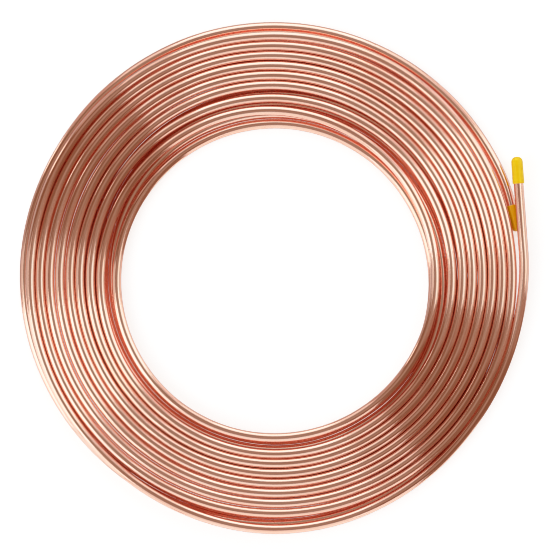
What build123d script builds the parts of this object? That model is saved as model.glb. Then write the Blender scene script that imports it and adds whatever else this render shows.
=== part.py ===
from build123d import *
import os
from math import cos, sin, radians, hypot, atan2, degrees

# Flat coil of soft copper tube, wound in two layers, with both free ends at
# its outer edge and a plastic cap pushed on each end. Millimetres, +Z up.
# Origin: on the floor, on the axis of the coil. The coil lies flat, and the
# free ends leave it on the +X side.

# ---- tube ----
tube_od = 6.35          # outside diameter, 1/4 in
tube_wall = 0.762       # wall, 0.030 in
tube_r = tube_od / 2
tube_bore_r = tube_r - tube_wall

# ---- winding ----
rest_sink = 0.02        # the lowest turns are pressed flat by this much
layer_rise = 5.95       # height of the upper layer over the lower one
web = 1.25              # half height of the web that joins the turns of a layer
z_low = tube_r - rest_sink
z_top = z_low + layer_rise
low_radii = [106.6, 113.2, 119.8, 126.4, 133.0, 139.7, 146.4, 153.0]
top_radii = [102.2, 112.2, 119.0, 125.5, 132.0, 138.4, 144.8, 151.2]
last_low_radius = 161.7     # centre line of the outermost lower turn

# ---- end caps ----
cap_od = 7.7
cap_length = 17.4
cap_grip = 12.6         # how far the tube reaches into a cap
cap_bore_r = tube_r + 0.02
cap_mouth_round = 0.35
cap_dome = 2.6          # height of the domed end
dome_radius = ((cap_od / 2) ** 2 + cap_dome**2) / (2 * cap_dome)
bore_depth = 34.0       # how deep the bore is open at the upper free end

# ---- free ends: mouth of each cap, and the way its last straight run points ----
upper_mouth = (157.9, 61.5)
upper_heading = 94.2
upper_straight = 37.0
upper_bend = 180.0
upper_z = 10.35         # the upper tail rides over the lower cap
lower_mouth = (153.3, 47.7)
lower_heading = 284.5
lower_straight = 7.0
lower_z = cap_od / 2 + 0.01


def at(r, a, z):
    return Vector(r * cos(radians(a)), r * sin(radians(a)), z)


def way(a):
    return Vector(cos(radians(a)), sin(radians(a)), 0)


# ---- upper turn: straight run, opened-out bend, last turn, dive inward ----
up_mouth = Vector(*upper_mouth, upper_z)
up_end = up_mouth + way(upper_heading) * cap_grip
up_straight = up_mouth - way(upper_heading) * upper_straight
up_centre = up_straight + way(upper_heading + 90) * upper_bend
last_top_radius = upper_bend - hypot(up_centre.X, up_centre.Y)
up_join = degrees(atan2(-up_centre.Y, -up_centre.X))
# the bend drops from the tail's height to the layer's in two equal arcs
up_half_angle = (up_join + upper_heading - 90) / 2
up_half = Vector(up_centre.X, up_centre.Y, 0) + way(up_half_angle) * upper_bend
up_half.Z = (upper_z + z_top) / 2
up_leave = 62.0         # where the turn starts to dive, after going round
up_round = at(last_top_radius, up_join, z_top)
up_far = at(last_top_radius, (up_join + up_leave - 360) / 2, z_top)
up_dive = at(last_top_radius, up_leave, z_top)
up_buried = at(150.8, up_leave - 34, 6.6)

# ---- lower turn: straight run, bend, last turn, dive inward ----
low_mouth = Vector(*lower_mouth, lower_z)
low_end = low_mouth + way(lower_heading) * cap_grip
low_straight = low_mouth - way(lower_heading) * lower_straight
# radius of the bend that is tangent to the straight run and to the last turn
low_side = way(lower_heading - 90)
flat_straight = Vector(low_straight.X, low_straight.Y, 0)
lower_bend = (last_low_radius**2 - flat_straight.dot(flat_straight)) / (
    2 * (last_low_radius + flat_straight.dot(low_side))
)
low_centre = flat_straight + low_side * lower_bend
low_join = degrees(atan2(low_centre.Y, low_centre.X))
low_lift = low_join + 56.0      # where the turn starts to lift to the cap
low_leave = -77.0               # where the turn comes out from between the layers
low_near = at(last_low_radius, low_join, lower_z)
low_mid_lift = at(last_low_radius, (low_join + low_lift) / 2, (lower_z + tube_r) / 2)
low_flat = at(last_low_radius, low_lift, tube_r)
low_far = at(last_low_radius, (low_lift + low_leave + 360) / 2, tube_r)
low_dive = at(last_low_radius, low_leave, tube_r)
low_buried = at(150.8, low_leave + 33, 6.0)

with BuildPart() as tube_coil:
    # the wound body, turned, with the turns showing on both faces
    with BuildSketch(Plane.XZ) as section:
        with Locations(*[(r, z_low) for r in low_radii]):
            Circle(tube_r)
        with Locations(*[(r, z_top) for r in top_radii]):
            Circle(tube_r)
        with BuildLine():
            Polyline(
                (low_radii[0], z_low - web),
                (low_radii[-1], z_low - web),
                (low_radii[-1], z_low + web),
                (top_radii[-1], z_top + web),
                (top_radii[0], z_top + web),
                (top_radii[0], z_top - web),
                close=True,
            )
        make_face()
        with Locations((130, -5)):
            Rectangle(120, 10, mode=Mode.SUBTRACT)
    revolve(axis=Axis.Z)

    # last upper turn and its tail
    with BuildLine() as upper_path:
        u1 = Line(up_end, up_straight)
        u2 = TangentArc(up_straight, up_half, tangent=u1 % 1)
        u3 = TangentArc(up_half, up_round, tangent=u2 % 1)
        u4 = ThreePointArc(up_round, up_far, up_dive)
        u5 = TangentArc(up_dive, up_buried, tangent=u4 % 1)
    with BuildSketch(Plane(origin=up_end, z_dir=u1 % 0)):
        Circle(tube_r)
    sweep(path=upper_path.line)

    # last lower turn and its end
    with BuildLine() as lower_path:
        l1 = Line(low_end, low_straight)
        l2 = TangentArc(low_straight, low_near, tangent=l1 % 1)
        l3 = TangentArc(low_near, low_mid_lift, tangent=l2 % 1)
        l4 = TangentArc(low_mid_lift, low_flat, tangent=l3 % 1)
        l5 = ThreePointArc(low_flat, low_far, low_dive)
        l6 = TangentArc(low_dive, low_buried, tangent=l5 % 1)
    with BuildSketch(Plane(origin=low_end, z_dir=l1 % 0)):
        Circle(tube_r)
    sweep(path=lower_path.line)

    # the bore, open at both free ends
    with BuildSketch(Plane(origin=up_end, z_dir=u1 % 0)):
        Circle(tube_bore_r)
    extrude(amount=bore_depth, mode=Mode.SUBTRACT)
    with BuildSketch(Plane(origin=low_end, z_dir=l1 % 0)):
        Circle(tube_bore_r)
    extrude(amount=cap_grip + lower_straight, mode=Mode.SUBTRACT)

with BuildPart() as end_cap_upper:
    along = way(upper_heading)
    with BuildSketch(Plane(origin=up_mouth, x_dir=(0, 0, 1), z_dir=Vector(0, 0, 1).cross(along))) as upper_wall:
        with BuildLine():
            a1 = Line((cap_bore_r, 0), (cap_od / 2 - cap_mouth_round, 0))
            a2 = TangentArc(a1 @ 1, (cap_od / 2, cap_mouth_round), tangent=(1, 0))
            a3 = Line(a2 @ 1, (cap_od / 2, cap_length - cap_dome))
            a4 = RadiusArc(a3 @ 1, (0, cap_length), -dome_radius)
            a5 = Line(a4 @ 1, (0, cap_grip + 0.2))
            a6 = Line(a5 @ 1, (cap_bore_r, cap_grip + 0.2))
            Line(a6 @ 1, a1 @ 0)
        make_face()
    revolve(axis=Axis(up_mouth, along))

with BuildPart() as end_cap_lower:
    along = way(lower_heading)
    with BuildSketch(Plane(origin=low_mouth, x_dir=(0, 0, 1), z_dir=Vector(0, 0, 1).cross(along))) as lower_wall:
        with BuildLine():
            b1 = Line((cap_bore_r, 0), (cap_od / 2 - cap_mouth_round, 0))
            b2 = TangentArc(b1 @ 1, (cap_od / 2, cap_mouth_round), tangent=(1, 0))
            b3 = Line(b2 @ 1, (cap_od / 2, cap_length - cap_dome))
            b4 = RadiusArc(b3 @ 1, (0, cap_length), -dome_radius)
            b5 = Line(b4 @ 1, (0, cap_grip + 0.2))
            b6 = Line(b5 @ 1, (cap_bore_r, cap_grip + 0.2))
            Line(b6 @ 1, b1 @ 0)
        make_face()
    revolve(axis=Axis(low_mouth, along))

for name, piece in (("tube_coil", tube_coil), ("end_cap_upper", end_cap_upper), ("end_cap_lower", end_cap_lower)):
    print(name, "valid", piece.part.is_valid, "solids", len(piece.part.solids()), "volume", round(piece.part.volume, 1), piece.part.bounding_box())

os.makedirs("parts", exist_ok=True)
tube_coil.part.label = "tube_coil"
export_step(tube_coil.part, "parts/tube_coil.step")
end_cap_upper.part.label = "end_cap_upper"
export_step(end_cap_upper.part, "parts/end_cap_upper.step")
end_cap_lower.part.label = "end_cap_lower"
export_step(end_cap_lower.part, "parts/end_cap_lower.step")
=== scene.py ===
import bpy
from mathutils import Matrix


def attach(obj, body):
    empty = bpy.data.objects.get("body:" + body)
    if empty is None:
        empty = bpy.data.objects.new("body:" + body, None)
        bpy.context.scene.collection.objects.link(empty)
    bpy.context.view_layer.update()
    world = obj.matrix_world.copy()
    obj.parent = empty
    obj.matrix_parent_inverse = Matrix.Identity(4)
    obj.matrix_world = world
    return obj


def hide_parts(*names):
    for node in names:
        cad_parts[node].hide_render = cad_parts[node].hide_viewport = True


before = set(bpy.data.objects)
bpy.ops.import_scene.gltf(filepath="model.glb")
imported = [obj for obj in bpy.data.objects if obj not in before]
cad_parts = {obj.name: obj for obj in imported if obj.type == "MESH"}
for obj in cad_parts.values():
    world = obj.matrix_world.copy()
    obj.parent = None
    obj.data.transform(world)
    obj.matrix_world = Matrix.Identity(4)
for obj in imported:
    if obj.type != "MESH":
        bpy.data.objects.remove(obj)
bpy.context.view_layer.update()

import math

import bpy
import numpy as np

scene = bpy.context.scene
MM = 0.001

# ---------------------------------------------------------------------------
# Winding of the tube. Millimetres, seen from above, angles anticlockwise from
# +X. The tube runs clockwise from the upper cap: inward over nine turns in the
# upper layer, down at the innermost turn, and outward again below.
# ---------------------------------------------------------------------------
OD, WALL = 6.35, 0.762
TUBE_R = OD / 2
MOUTH_UP, HEADING_UP, HEIGHT_UP = np.array([157.72, 61.5]), 94.2, 10.35
MOUTH_LOW, HEADING_LOW, HEIGHT_LOW = np.array([153.3, 47.7]), 284.5, 3.86
GRIP = 12.6             # how far the tube reaches into a cap
CAP_LENGTH = 17.4
CAP_R = 3.85

# radius of the centre line where the upper tail opens out: (degrees travelled, radius)
TAIL = [(-5, 161.83), (0, 161.12), (5, 160.35), (10, 159.7), (15, 159.31), (20, 158.99),
        (25, 158.8), (30, 158.67), (35, 158.61), (40, 158.7), (45, 158.99), (52, 159.57), (60, 160.02)]

# radius every 15 degrees of travel, from 75 degrees: the turns of the upper layer
UPPER = [
    161.12, 161.44, 160.41, 158.93, 157.96, 157.57, 157.44, 157.38, 157.44, 157.61, 157.57, 157.32, 156.99, 156.86, 156.93, 156.93, 156.09, 155.25, 154.48, 153.77,
    153.38, 152.77, 152.45, 151.90, 151.51, 151.12, 151.12, 151.12, 151.06, 150.99, 150.93, 151.12, 151.12, 151.16, 151.12, 150.93, 150.80, 150.48, 150.16, 149.77, 149.45, 148.83, 148.16, 147.41,
    146.87, 146.35, 145.87, 145.45, 145.12, 144.74, 144.54, 144.48, 144.54, 144.54, 144.61, 144.80, 144.90, 144.93, 144.90, 144.74, 144.54, 144.16, 143.77, 143.32, 142.87, 142.42, 141.77, 141.00,
    140.35, 139.77, 139.29, 138.80, 138.61, 138.29, 138.16, 137.97, 137.90, 137.97, 138.09, 138.29, 138.48, 138.51, 138.42, 138.29, 138.09, 137.71, 137.32, 136.80, 136.29, 135.71, 135.06, 134.51,
    133.81, 133.29, 132.83, 132.35, 132.03, 131.77, 131.58, 131.45, 131.45, 131.52, 131.64, 131.77, 131.93, 132.00, 132.03, 131.90, 131.71, 131.39, 130.94, 130.42, 129.90, 129.32, 128.68, 128.06,
    127.48, 126.94, 126.45, 125.97, 125.71, 125.45, 125.26, 125.13, 125.13, 125.19, 125.26, 125.32, 125.52, 125.61, 125.74, 125.65, 125.39, 125.07, 124.55, 124.03, 123.58, 123.00, 122.23, 121.68,
    121.13, 120.49, 120.03, 119.58, 119.39, 119.13, 118.94, 118.81, 118.68, 118.55, 118.49, 118.55, 118.55, 118.68, 118.42, 117.65, 117.07, 116.75, 116.36, 116.04, 115.78, 115.46, 115.07, 114.81,
    114.55, 114.10, 113.65, 113.26, 113.13, 112.94, 112.68, 112.36, 112.17, 112.04, 111.84, 111.65, 111.33, 111.07, 110.62, 109.97, 109.46, 108.75, 107.84, 107.07, 106.30, 105.46, 104.75, 104.23,
    103.97, 103.65, 103.33, 102.94, 102.68, 102.49, 102.43, 102.36, 102.23, 102.04, 101.85, 101.65, 101.33, 100.94, 100.56, 100.30, 100.30, 100.43, 100.56, 100.75, 101.07, 101.39, 102.04, 102.94,
]
# the first and the last turn of the lower layer, every 15 degrees of travel; the
# turns between them lie close at both edges and loosely in the hidden middle
LOWER_FIRST = [103.85, 104.70, 104.75, 104.35, 104.55, 104.30, 103.95, 103.75, 103.60, 103.60, 103.70, 104.00,
               104.80, 105.80, 106.50, 106.68, 106.69, 106.82, 107.00, 107.25, 107.60, 107.95, 108.50, 109.25]
LOWER_LAST = [153.38, 153.64, 154.93, 156.61, 157.83, 158.41, 158.80, 158.73, 159.12, 159.83, 160.67, 161.25,
              161.44, 161.51, 162.15, 162.60, 162.99, 163.06, 162.93, 162.54, 162.22, 161.70, 161.70, 161.70]
LOWER_EIGHTH_CLOSE = [153.19, 153.12]    # the eighth turn beside the lower cap


def heading(a):
    return np.array([math.cos(math.radians(a)), math.sin(math.radians(a))])


def ease(x):
    x = np.clip(x, 0.0, 1.0)
    return x * x * (3 - 2 * x)


def spline(t, y, q):
    """Natural cubic curve through the rows of y at t, read at q."""
    n, h = len(t), np.diff(t)
    a, b = np.zeros((n, n)), np.zeros((n, y.shape[1]))
    a[0, 0] = a[-1, -1] = 1
    i = np.arange(1, n - 1)
    a[i, i - 1], a[i, i], a[i, i + 1] = h[:-1], 2 * (h[:-1] + h[1:]), h[1:]
    b[1:-1] = 6 * ((y[2:] - y[1:-1]) / h[1:, None] - (y[1:-1] - y[:-2]) / h[:-1, None])
    m = np.linalg.solve(a, b)
    k = np.clip(np.searchsorted(t, q, side="right") - 1, 0, n - 2)
    f, g, hk = (q - t[k])[:, None], (t[k + 1] - q)[:, None], h[k][:, None]
    return (m[k] * g**3 + m[k + 1] * f**3) / (6 * hk) + (y[k] / hk - m[k] * hk / 6) * g + (y[k + 1] / hk - m[k + 1] * hk / 6) * f


def winding_radii():
    rows = list(TAIL)
    rows += [(75 + 15 * i, r) for i, r in enumerate(UPPER)]
    for turn in range(9):
        for i in range(24):
            if turn == 8 and i > 21:
                continue
            first, last = LOWER_FIRST[i], LOWER_LAST[i]
            pitch = min(OD + 0.03, (last - first) / 8 + 0.12)
            eighth = LOWER_EIGHTH_CLOSE[i - 22] if i > 21 else last - pitch
            r = first + pitch * turn
            if turn > 4:
                r = first + 4 * pitch + (eighth - first - 4 * pitch) * (turn - 4) / 3
            if turn == 8:
                r = last
            rows.append((3255 + 360 * turn + 15 * i, r))
    return np.array(rows, float)


def centre_line():
    """Points of the tube's centre line from the upper free end to the lower one, and the degrees travelled and length at each."""
    rows = winding_radii()
    ups = [MOUTH_UP + heading(HEADING_UP) * d for d in (GRIP, 0.0, -9.5, -19.0, -28.5, -37.0)]
    round_ = [r * heading(-u) for u, r in rows]
    lows = [MOUTH_LOW + heading(HEADING_LOW) * d for d in (-7.0, 0.0, GRIP)]
    knots = np.array(ups + round_ + lows)
    t = np.r_[0, np.cumsum(np.linalg.norm(np.diff(knots, axis=0), axis=1))]
    q = np.linspace(0, t[-1], 9000)
    xy = spline(t, knots, q)
    turned = np.degrees(np.unwrap(np.arctan2(xy[:, 1], xy[:, 0])))
    u = -(turned - turned[0]) - turned[0]
    radius = np.hypot(xy[:, 0], xy[:, 1])

    # height that each upper turn needs to clear the lower turns it lies on
    grid = np.arange(-30.0, 6481.0)
    r_grid = np.interp(grid, u, radius)
    need = np.zeros(len(grid))
    for i in range(len(grid)):
        if grid[i] > 3240:
            break
        turn = math.ceil((3240 - grid[i]) / 360)
        while True:
            other = grid[i] + 360 * turn
            if other > 6467:
                break
            d = abs(r_grid[i] - np.interp(other, grid, r_grid))
            if d < OD:
                need[i] = max(need[i], math.sqrt(OD * OD - d * d))
            turn += 1
    widest = np.array([need[max(0, i - 7):i + 8].max() for i in range(len(need))])
    soft = np.exp(-0.5 * (np.arange(-30, 31) / 9.0) ** 2)
    rise = np.convolve(np.pad(widest, 30, mode="edge"), soft / soft.sum(), mode="valid")
    # the tail comes down from the lower cap into the gap outside the last lower turn, then climbs back onto it
    lie = 4.05
    rise = np.where(grid < 28, (HEIGHT_UP - TUBE_R) + (lie - HEIGHT_UP + TUBE_R) * ease((grid + 10) / 40.0), rise)
    step = ease((grid - 28) / 50.0)
    rise = np.where((grid >= 28) & (grid < 78), lie * (1 - step) + rise * step, rise)
    # the innermost turn sinks to the lower layer
    sink = 6.3 * (1 - ease((grid - 2890) / 310.0))
    held = need * (grid < 3115)
    sunk = 0.5 * (held + sink + np.sqrt((held - sink) ** 2 + 0.09))
    mix = ease((grid - 2895) / 30.0)
    rise = rise * (1 - mix) + sunk * mix
    rise = np.where(grid > 3180, rise * (1 - ease((grid - 3180) / 50.0)), rise)
    rise = np.where(grid > 3230, 0.0, rise)
    soft = np.exp(-0.5 * (np.arange(-20, 21) / 5.0) ** 2)
    rise = np.convolve(np.pad(rise, 20, mode="edge"), soft / soft.sum(), mode="valid")
    rise += (HEIGHT_LOW - TUBE_R) * ease((grid - 6400) / 55.0)
    z = TUBE_R + np.interp(u, grid, rise)

    # soft tube is never quite true: slow, slight waves along its length
    rng = np.random.default_rng(7)
    length = np.r_[0, np.cumsum(np.linalg.norm(np.diff(xy, axis=0), axis=1))]
    wave = np.zeros(len(q))
    lift = np.zeros(len(q))
    for span, size in ((420, 0.05), (170, 0.035), (75, 0.022), (34, 0.009)):
        for target, share in ((wave, 1.0), (lift, 0.6)):
            phase = rng.uniform(0, 2 * math.pi, 6)
            stretch = rng.uniform(0.75, 1.35, 6)
            target += share * size * sum(np.sin(2 * math.pi * length / (span * s) + p) for s, p in zip(stretch, phase)) / 2.4
    calm = ease((length - 60) / 80) * ease((length[-1] - 60 - length) / 80)
    out = xy / radius[:, None]
    xy = xy + out * (wave * calm)[:, None]
    points = np.c_[xy, z + np.maximum(lift * calm, -(z - TUBE_R))]
    length = np.r_[0, np.cumsum(np.linalg.norm(np.diff(points, axis=0), axis=1))]
    return points, u, length


def ring_stations(u, length):
    """Lengths along the tube at which it has a ring: one for each 2 degrees of a turn."""
    total = length[-1]
    marks = np.interp(np.arange(-8.0, 6455.0, 2.0), u[length > 40], length[length > 40])
    first, last = marks[0], marks[-1]
    head = np.linspace(0, first, 12)[:-1]
    tail = np.linspace(last, total, 8)[1:]
    return np.r_[head, marks, tail]


def tube_mesh(name):
    points, u, length = centre_line()
    s = ring_stations(u, length)
    centre = np.stack([np.interp(s, length, points[:, i]) for i in range(3)], 1)
    ahead = np.gradient(points, length, axis=0)
    ahead = np.stack([np.interp(s, length, ahead[:, i]) for i in range(3)], 1)
    ahead /= np.linalg.norm(ahead, axis=1)[:, None]
    side = np.cross(ahead, [0, 0, 1.0])
    side /= np.linalg.norm(side, axis=1)[:, None]
    up = np.cross(side, ahead)
    sides = 24
    a = np.arange(sides) * 2 * math.pi / sides + math.pi / sides
    # soft tube goes slightly oval as it is wound; the two ends stay round
    wound = ease((s - 70) / 120) * ease((s[-1] - 40 - s) / 80)
    slim, flat = 1 - 0.01 * wound, 1 - 0.10 * wound

    verts, along, faces = [], [], []

    def ring(i, radius):
        start = len(verts)
        for v in a:
            off = side[i] * (math.cos(v) * radius) + up[i] * (math.sin(v) * radius)
            verts.append((centre[i] + off * slim[i]) * (1, 1, flat[i]) * MM)
            along.append((s[i] * MM, math.cos(v) * radius * MM, math.sin(v) * radius * MM))
        return start

    def skin(one, two, flip=False):
        for k in range(sides):
            n = (k + 1) % sides
            quad = (one + k, one + n, two + n, two + k)
            faces.append(quad[::-1] if flip else quad)

    bore = TUBE_R - WALL
    outer = [ring(i, TUBE_R) for i in range(len(s))]
    for one, two in zip(outer[:-1], outer[1:]):
        skin(one, two)
    for end in (0, -1):
        order = range(0, 11) if end == 0 else range(len(s) - 1, len(s) - 7, -1)
        inner = [ring(i, bore) for i in order]
        lip = outer[end]
        skin(lip, inner[0], flip=(end == 0))
        for one, two in zip(inner[:-1], inner[1:]):
            skin(one, two, flip=(end == 0))
        hub = len(verts)
        i = order[-1]
        verts.append(centre[i] * (1, 1, flat[i]) * MM)
        along.append((s[i] * MM, 0.0, 0.0))
        for k in range(sides):
            n = (k + 1) % sides
            face = (inner[-1] + k, inner[-1] + n, hub)
            faces.append(face[::-1] if end == 0 else face)

    mesh = bpy.data.meshes.new(name)
    mesh.from_pydata([tuple(v) for v in verts], [], faces)
    mesh.polygons.foreach_set("use_smooth", [True] * len(mesh.polygons))
    layer = mesh.attributes.new("tube_along", "FLOAT_VECTOR", "POINT")
    layer.data.foreach_set("vector", np.array(along, np.float32).ravel())
    mesh.update()
    mesh.validate()
    # a crisp edge where the tube was cut
    mesh.set_sharp_from_angle(angle=math.radians(50))
    piece = bpy.data.objects.new(name, mesh)
    scene.collection.objects.link(piece)
    return piece


# ---------------------------------------------------------------------------
# End caps: soft moulded sleeves, closed by a dome, with a rolled lip.
# ---------------------------------------------------------------------------
def arc(cx, cy, r, start, stop, steps):
    return [(cx + r * math.cos(math.radians(start + (stop - start) * i / steps)),
             cy + r * math.sin(math.radians(start + (stop - start) * i / steps))) for i in range(steps + 1)]


def cap_mesh(name, mouth, height, angle, seed, painted_shade_amount):
    """Profile as (radius, distance from the mouth), turned about the tube's line."""
    r = CAP_R
    profile = [(TUBE_R + 0.015, 1.2), (TUBE_R + 0.03, 0.45), (TUBE_R + 0.16, 0.1)]
    profile += arc(r - 0.32, 0.34, 0.32, 265, 360, 5)
    profile += [(r, 1.2), (r - 0.005, 1.6), (r - 0.025, 1.9), (r - 0.035, 2.3)]
    profile += [(r - 0.035 - 0.004 * d, 2.6 + d) for d in (2.0, 4.5, 7.0, 9.5)]
    top, waist = CAP_LENGTH, r - 0.08
    profile += [(waist * math.cos(math.radians(v)) ** 0.85, 13.9 + (top - 13.9) * math.sin(math.radians(v))) for v in (0, 12, 24, 36, 48, 58, 67, 75, 82, 87)]
    profile += [(0.0, top)]
    inner = [(0.0, GRIP + 0.25), (TUBE_R - 0.25, GRIP + 0.25), (TUBE_R + 0.015, GRIP)]
    inner += [(TUBE_R + 0.015, d) for d in (9.0, 5.0)]
    loop = profile + inner

    rng = np.random.default_rng(seed)
    wobble = rng.uniform(0, 2 * math.pi, 4)
    direction = np.array([*heading(angle), 0.0])
    across = np.array([-direction[1], direction[0], 0.0])
    upward = np.array([0.0, 0.0, 1.0])
    origin = np.array([*mouth, height])
    sides = 72
    verts, along, faces, starts = [], [], [], []
    for radius, d in loop:
        starts.append(len(verts))
        if radius == 0.0:
            verts.append((origin + direction * d) * MM)
            along.append((d * MM, 0.0, 0.0))
            continue
        for k in range(sides):
            v = 2 * math.pi * k / sides
            # the sleeve is stretched over the tube, so it isn't quite round
            slack = 0.0 if radius < TUBE_R + 0.2 else 0.018 * math.sin(2 * v + wobble[0]) + 0.012 * math.sin(3 * v + wobble[1] + d * 0.3)
            rr = radius + slack - (0.03 if slack else 0.0)
            verts.append((origin + direction * d + across * (rr * math.cos(v)) + upward * (rr * math.sin(v))) * MM)
            along.append((d * MM, rr * math.cos(v) * MM, rr * math.sin(v) * MM))
    n = len(loop)
    for i in range(n):
        j = (i + 1) % n
        one, two = starts[i], starts[j]
        for k in range(sides):
            m = (k + 1) % sides
            if loop[i][0] == 0.0 and loop[j][0] == 0.0:
                continue
            if loop[i][0] == 0.0:
                faces.append((one, two + k, two + m))
            elif loop[j][0] == 0.0:
                faces.append((one + k, two, one + m))
            else:
                faces.append((one + k, two + k, two + m, one + m))
    mesh = bpy.data.meshes.new(name)
    mesh.from_pydata([tuple(v) for v in verts], [], [f[::-1] for f in faces])
    mesh.polygons.foreach_set("use_smooth", [True] * len(mesh.polygons))
    layer = mesh.attributes.new("cap_along", "FLOAT_VECTOR", "POINT")
    layer.data.foreach_set("vector", np.array(along, np.float32).ravel())
    # per-piece share of painted shade: 1 darkens the lower cap, which lies in shade under the tail
    painted_shade_layer = mesh.attributes.new("cap_painted_shade", "FLOAT", "POINT")
    painted_shade_layer.data.foreach_set("value", np.full(len(verts), painted_shade_amount, np.float32))
    mesh.update()
    mesh.validate()
    mesh.set_sharp_from_angle(angle=math.radians(60))
    piece = bpy.data.objects.new(name, mesh)
    scene.collection.objects.link(piece)
    return piece


# ---------------------------------------------------------------------------
# Materials
# ---------------------------------------------------------------------------
def new_material(name):
    material = bpy.data.materials.new(name)
    material.use_nodes = True
    tree = material.node_tree
    return material, tree, tree.nodes["Principled BSDF"]


def node(tree, kind, **values):
    made = tree.nodes.new(kind)
    for key, value in values.items():
        if key in made.inputs:
            made.inputs[key].default_value = value
        else:
            setattr(made, key, value)
    return made


def stretched(tree, attribute, scale):
    """Coordinates along and around the piece, stretched along it."""
    source = node(tree, "ShaderNodeAttribute", attribute_name=attribute)
    mapping = node(tree, "ShaderNodeMapping")
    mapping.inputs["Scale"].default_value = scale
    tree.links.new(source.outputs["Vector"], mapping.inputs["Vector"])
    return mapping.outputs["Vector"]


def noise(tree, vector, scale, detail=3.0, rough=0.55):
    made = node(tree, "ShaderNodeTexNoise", Scale=scale, Detail=detail, Roughness=rough)
    tree.links.new(vector, made.inputs["Vector"])
    return made.outputs["Fac"]


def ramp(tree, fac, stops):
    made = tree.nodes.new("ShaderNodeValToRGB")
    elements = made.color_ramp.elements
    while len(elements) < len(stops):
        elements.new(0.5)
    for element, (position, colour) in zip(elements, stops):
        element.position, element.color = position, colour
    tree.links.new(fac, made.inputs["Fac"])
    return made.outputs["Color"]


def mix(tree, fac, one, two, kind="MIX"):
    made = tree.nodes.new("ShaderNodeMix")
    made.data_type = "RGBA"
    made.blend_type = kind
    if isinstance(fac, float):
        made.inputs["Factor"].default_value = fac
    else:
        tree.links.new(fac, made.inputs["Factor"])
    for socket, value in ((made.inputs[6], one), (made.inputs[7], two)):
        if isinstance(value, tuple):
            socket.default_value = value
        else:
            tree.links.new(value, socket)
    return made.outputs[2]


def span(tree, value, low, high, start=0.0, stop=1.0):
    made = node(tree, "ShaderNodeMapRange")
    made.inputs["From Min"].default_value, made.inputs["From Max"].default_value = start, stop
    made.inputs["To Min"].default_value, made.inputs["To Max"].default_value = low, high
    tree.links.new(value, made.inputs["Value"])
    return made.outputs["Result"]


def copper_material():
    """Bright drawn copper: faint tarnish in long streaks and clouds, fine drawing lines."""
    material, tree, shader = new_material("bright_copper")
    fine = stretched(tree, "tube_along", (28.0, 2600.0, 2600.0))
    streak = stretched(tree, "tube_along", (7.0, 420.0, 420.0))
    cloud = stretched(tree, "tube_along", (16.0, 55.0, 55.0))
    n_fine = noise(tree, fine, 1.0, 3.0)
    n_streak = noise(tree, streak, 1.0, 4.0)
    n_cloud = noise(tree, cloud, 1.0, 3.0)
    tint = ramp(tree, n_cloud, [(0.30, (0.94, 0.535, 0.41, 1)), (0.52, (0.965, 0.595, 0.48, 1)), (0.75, (0.98, 0.625, 0.51, 1))])
    worn = ramp(tree, n_streak, [(0.34, (0.86, 0.80, 0.77, 1)), (0.50, (1, 1, 1, 1)), (1.0, (1, 1, 1, 1))])
    colour = mix(tree, 0.8, tint, worn, "MULTIPLY")
    tree.links.new(colour, shader.inputs["Base Color"])
    shader.inputs["Metallic"].default_value = 1.0
    rough = span(tree, n_streak, 0.09, 0.17, 0.3, 0.75)
    tree.links.new(rough, shader.inputs["Roughness"])
    bump = node(tree, "ShaderNodeBump", Strength=0.15, Distance=0.00002)
    tree.links.new(n_fine, bump.inputs["Height"])
    dents = node(tree, "ShaderNodeBump", Strength=0.12, Distance=0.0004)
    tree.links.new(n_cloud, dents.inputs["Height"])
    tree.links.new(bump.outputs["Normal"], dents.inputs["Normal"])
    tree.links.new(dents.outputs["Normal"], shader.inputs["Normal"])
    return material


def cap_material(name):
    """Soft yellow moulded plastic: clouded colour, a deeper amber on the lower cap as painted shade for the tail's
    shadow over it, a duller scuffed skin, fine grain.
    """
    material, tree, shader = new_material(name)
    place = stretched(tree, "cap_along", (120.0, 210.0, 210.0))
    grain = stretched(tree, "cap_along", (1500.0, 4200.0, 4200.0))
    n_cloud = noise(tree, place, 1.0, 3.0)
    n_grain = noise(tree, grain, 1.0, 2.0)
    tint = ramp(tree, n_cloud, [(0.3, (0.88, 0.52, 0.002, 1)), (0.55, (0.93, 0.58, 0.003, 1)), (0.8, (0.95, 0.61, 0.005, 1))])
    # painted shade: the lower cap's colour is darkened to amber because it lies in the tail's shadow
    painted_shade = node(tree, "ShaderNodeAttribute", attribute_name="cap_painted_shade")
    tint = mix(tree, painted_shade.outputs["Fac"], tint, mix(tree, 1.0, tint, (1.0, 0.74, 0.60, 1), "MULTIPLY"))
    tree.links.new(tint, shader.inputs["Base Color"])
    rough = span(tree, n_grain, 0.13, 0.22, 0.25, 0.8)
    tree.links.new(rough, shader.inputs["Roughness"])
    shader.inputs["Specular IOR Level"].default_value = 1.0
    shader.inputs["Specular Tint"].default_value = (1.0, 0.86, 0.16, 1)
    shader.inputs["Subsurface Weight"].default_value = 0.15
    shader.inputs["Subsurface Radius"].default_value = (1.0, 0.55, 0.08)
    shader.inputs["Subsurface Scale"].default_value = 0.0012
    bump = node(tree, "ShaderNodeBump", Strength=0.10, Distance=0.00004)
    tree.links.new(n_grain, bump.inputs["Height"])
    tree.links.new(bump.outputs["Normal"], shader.inputs["Normal"])
    return material


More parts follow.
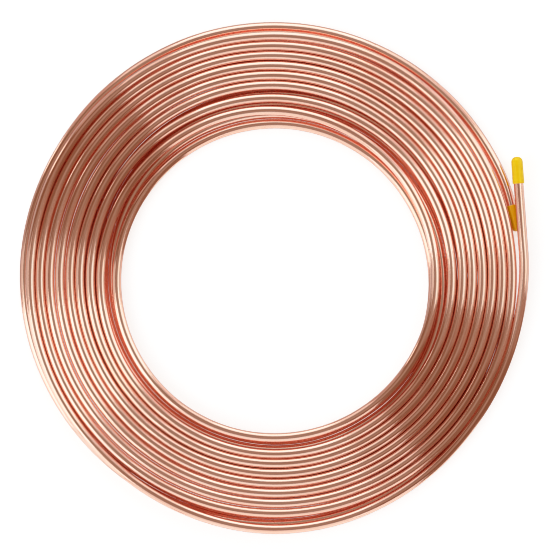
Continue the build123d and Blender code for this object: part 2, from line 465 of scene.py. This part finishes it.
def floor_material():
    material, tree, shader = new_material("pale_floor")
    spot = node(tree, "ShaderNodeNewGeometry")
    n = noise(tree, spot.outputs["Position"], 3.0, 4.0)
    tree.links.new(ramp(tree, n, [(0.3, (0.90, 0.90, 0.90, 1)), (0.7, (0.93, 0.93, 0.93, 1))]), shader.inputs["Base Color"])
    shader.inputs["Roughness"].default_value = 0.9
    shader.inputs["Specular IOR Level"].default_value = 0.0
    # lit from below, so that the ground stays white round the object
    shader.inputs["Emission Color"].default_value = (1, 1, 1, 1)
    shader.inputs["Emission Strength"].default_value = 0.5
    return material


# ---------------------------------------------------------------------------
# The pieces
# ---------------------------------------------------------------------------
tube = tube_mesh("copper_tube")
tube.data.materials.append(copper_material())
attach(tube, "root")
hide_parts("tube_coil")

cap_skin = cap_material("yellow_plastic")
# the last number is painted shade: 1 darkens the lower cap, which the tail shades
for cap_name, cad_name, mouth, height, angle, seed, painted_shade_amount in (
    ("cap_on_upper_end", "end_cap_upper", MOUTH_UP, HEIGHT_UP, HEADING_UP, 3, 0.0),
    ("cap_on_lower_end", "end_cap_lower", MOUTH_LOW, HEIGHT_LOW, HEADING_LOW, 5, 1.0),
):
    cap = cap_mesh(cap_name, mouth, height, angle, seed, painted_shade_amount)
    cap.data.materials.append(cap_skin)
    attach(cap, "root")
    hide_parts(cad_name)

# ---------------------------------------------------------------------------
# Floor, light, camera
# ---------------------------------------------------------------------------
bpy.ops.mesh.primitive_circle_add(vertices=96, radius=2.4, fill_type="NGON", location=(0, 0, -0.00002))
floor = bpy.context.object
floor.name = "floor"
floor.data.materials.append(floor_material())
# the floor is a clean ground for the picture; the object is lit past it from all round
floor.visible_glossy = False
floor.visible_diffuse = False
floor.visible_shadow = False


def soft_light(name, azimuths, zenith_angles, glow, distance=3.0):
    """A flat lit screen that faces the object: the azimuths and the angles from the zenith between which it stands, and its glow."""
    a = math.radians((azimuths[0] + azimuths[1]) / 2)
    e = math.radians((zenith_angles[0] + zenith_angles[1]) / 2)
    half_wide = math.radians((azimuths[1] - azimuths[0]) / 2)
    half_high = math.radians((zenith_angles[1] - zenith_angles[0]) / 2)
    light = bpy.data.lights.new(name, "AREA")
    light.shape = "RECTANGLE"
    light.size = 2 * distance * math.tan(half_wide) * math.sin(e)
    light.size_y = 2 * distance * math.tan(half_high)
    light.energy = math.pi * light.size * light.size_y * max(glow)
    light.color = [c / max(glow) for c in glow]
    lamp = bpy.data.objects.new(name, light)
    lamp.location = (distance * math.sin(e) * math.cos(a), distance * math.sin(e) * math.sin(a), distance * math.cos(e))
    lamp.rotation_euler = (e, 0, a + math.radians(90))
    lamp.visible_camera = False
    scene.collection.objects.link(lamp)
    return lamp


# a ring of white screens round the object, with warm dark room between them
soft_light("east_screen", (8, 37), (32, 58), (1.30, 1.58, 1.66))
soft_light("east_screen_foot", (8, 37), (58, 86), (1.20, 1.42, 1.50))
soft_light("east_top", (-7, 37), (18, 32), (0.47, 0.80, 0.85))
soft_light("east_end", (-9, 8), (32, 58), (1.12, 1.34, 1.36))
soft_light("east_end_foot", (-9, 8), (58, 88), (0.46, 0.57, 0.60))
soft_light("east_fade", (-23, -9), (20, 88), (0.13, 0.11, 0.10))
soft_light("corner_top", (37, 53), (34, 71), (0.44, 0.48, 0.50))
soft_light("corner_foot", (37, 53), (71, 88), (1.02, 1.08, 1.14))
soft_light("north_shoulder_right_top", (53, 67), (32, 45), (0.46, 0.54, 0.56))
soft_light("north_shoulder_right", (53, 67), (45, 88), (0.97, 1.03, 1.08))
soft_light("north_fringe", (40, 125), (19, 32), (0.10, 0.20, 0.23))
soft_light("north_top", (67, 113), (32, 46), (0.86, 1.14, 1.22))
soft_light("north_upper", (67, 113), (46, 59), (1.42, 1.68, 1.76))
soft_light("north_screen", (67, 113), (59, 85), (1.62, 1.80, 1.88))
soft_light("north_shoulder_left_top", (113, 128), (32, 45), (0.32, 0.38, 0.38))
soft_light("north_shoulder_left", (113, 128), (45, 86), (0.80, 0.86, 0.90))
soft_light("north_fade", (128, 143), (45, 88), (0.30, 0.28, 0.28))
soft_light("northwest_foot", (143, 172), (73, 88), (0.26, 0.34, 0.36))
soft_light("northwest_lamp", (147, 155), (74, 96), (1.6, 1.6, 1.6))
soft_light("west_fade", (172, 187), (30, 88), (0.50, 0.60, 0.62))
soft_light("west_top", (187, 225), (18, 32), (0.38, 0.72, 0.80))
soft_light("west_screen", (187, 218), (32, 58), (1.62, 1.88, 1.93))
soft_light("west_screen_foot", (187, 218), (58, 86), (1.42, 1.64, 1.70))
soft_light("west_side", (218, 232), (32, 88), (1.10, 1.28, 1.33))
soft_light("south_fringe", (232, 292), (19, 32), (0.15, 0.25, 0.28))
soft_light("south_top", (232, 292), (32, 45), (0.75, 0.91, 0.97))
soft_light("south_screen", (232, 292), (45, 72), (0.88, 0.95, 1.01))
soft_light("south_foot", (232, 292), (72, 88), (0.96, 1.05, 1.12))
soft_light("south_end", (292, 308), (45, 88), (0.88, 0.95, 1.00))
# the same screens go on below the floor's level, and light the undersides
soft_light("under_east", (-9, 50), (88, 130), (0.66, 0.77, 0.82))
soft_light("under_north", (50, 110), (88, 130), (0.46, 0.56, 0.60))
soft_light("under_northwest", (110, 185), (88, 130), (0.27, 0.34, 0.38))
soft_light("under_west", (185, 246), (88, 130), (0.98, 1.10, 1.18))
soft_light("under_south", (246, 308), (88, 130), (1.02, 1.12, 1.20))
soft_light("under_southeast", (308, 325), (101, 130), (0.98, 1.14, 1.20))

for name, height, half_angle, turned, glow in (
    ("ceiling", 3.2, 18.5, 0.0, (0.13, 0.155, 0.15)),
    ("under_middle", -3.2, 48.0, math.pi, (0.42, 0.50, 0.54)),
):
    light = bpy.data.lights.new(name, "AREA")
    light.shape = "DISK"
    light.size = 2 * abs(height) * math.tan(math.radians(half_angle))
    light.energy = math.pi * math.pi / 4 * light.size**2 * max(glow)
    light.color = [c / max(glow) for c in glow]
    lamp = bpy.data.objects.new(name, light)
    lamp.location = (0, 0, height)
    lamp.rotation_euler = (turned, 0, 0)
    lamp.visible_camera = False
    scene.collection.objects.link(lamp)

# extra soft light for what is matte: it stands to the left, and doesn't mirror in the copper
matte = soft_light("matte_fill", (150, 210), (15, 60), (0.95, 0.95, 0.95))
matte.visible_glossy = False

# the room: warm and dim for the object, plain white as a backdrop
world = bpy.data.worlds.new("studio")
scene.world = world
world.use_nodes = True
wt = world.node_tree
room = wt.nodes["Background"]
room.inputs["Color"].default_value = (0.27, 0.145, 0.09, 1)
backdrop = wt.nodes.new("ShaderNodeBackground")
backdrop.inputs["Color"].default_value = (1.3, 1.3, 1.3, 1)
seen = wt.nodes.new("ShaderNodeLightPath")
either = wt.nodes.new("ShaderNodeMixShader")
wt.links.new(seen.outputs["Is Camera Ray"], either.inputs[0])
wt.links.new(room.outputs[0], either.inputs[1])
wt.links.new(backdrop.outputs[0], either.inputs[2])
wt.links.new(either.outputs[0], wt.nodes["World Output"].inputs["Surface"])

# light passes many times between the turns before it comes out
scene.cycles.max_bounces = 24
scene.cycles.glossy_bounces = 24
scene.cycles.diffuse_bounces = 6
scene.cycles.filter_width = 1.15

camera = bpy.data.cameras.new("camera")
camera.type = "PERSP"
camera.sensor_width = 36.0
PIXEL = 0.645                 # millimetres to a pixel of the 550 pixel frame
CENTRE = (273.9, 279.0)       # where the coil's axis stands in it, in pixels from the top left corner
DISTANCE = 2500.0             # above the upper layer's centre line
camera.lens = 36.0 * DISTANCE / (550 * PIXEL)
camera.clip_start, camera.clip_end = 0.1, 200.0
viewer = bpy.data.objects.new("camera", camera)
viewer.location = ((275.0 - CENTRE[0]) * PIXEL * MM, (CENTRE[1] - 275.0) * PIXEL * MM, (9.1 + DISTANCE) * MM)
viewer.rotation_euler = (0, 0, 0)
scene.collection.objects.link(viewer)
scene.camera = viewer

# picture style of a bright product photograph: a soft shoulder, clean white ground
view = scene.view_settings
view.view_transform = "Standard"
view.look = "None"
view.exposure, view.gamma = 0.0, 1.0
view.use_curve_mapping = True
mapping = view.curve_mapping
mapping.clip_max_x = 2.0
curve = mapping.curves[3]
curve.points[0].location = (0.0, 0.0)
curve.points[1].location = (1.25, 1.0)
for x, y in ((0.2, 0.2), (0.45, 0.45), (0.7, 0.7), (1.0, 0.91)):
    curve.points.new(x, y)
mapping.update()
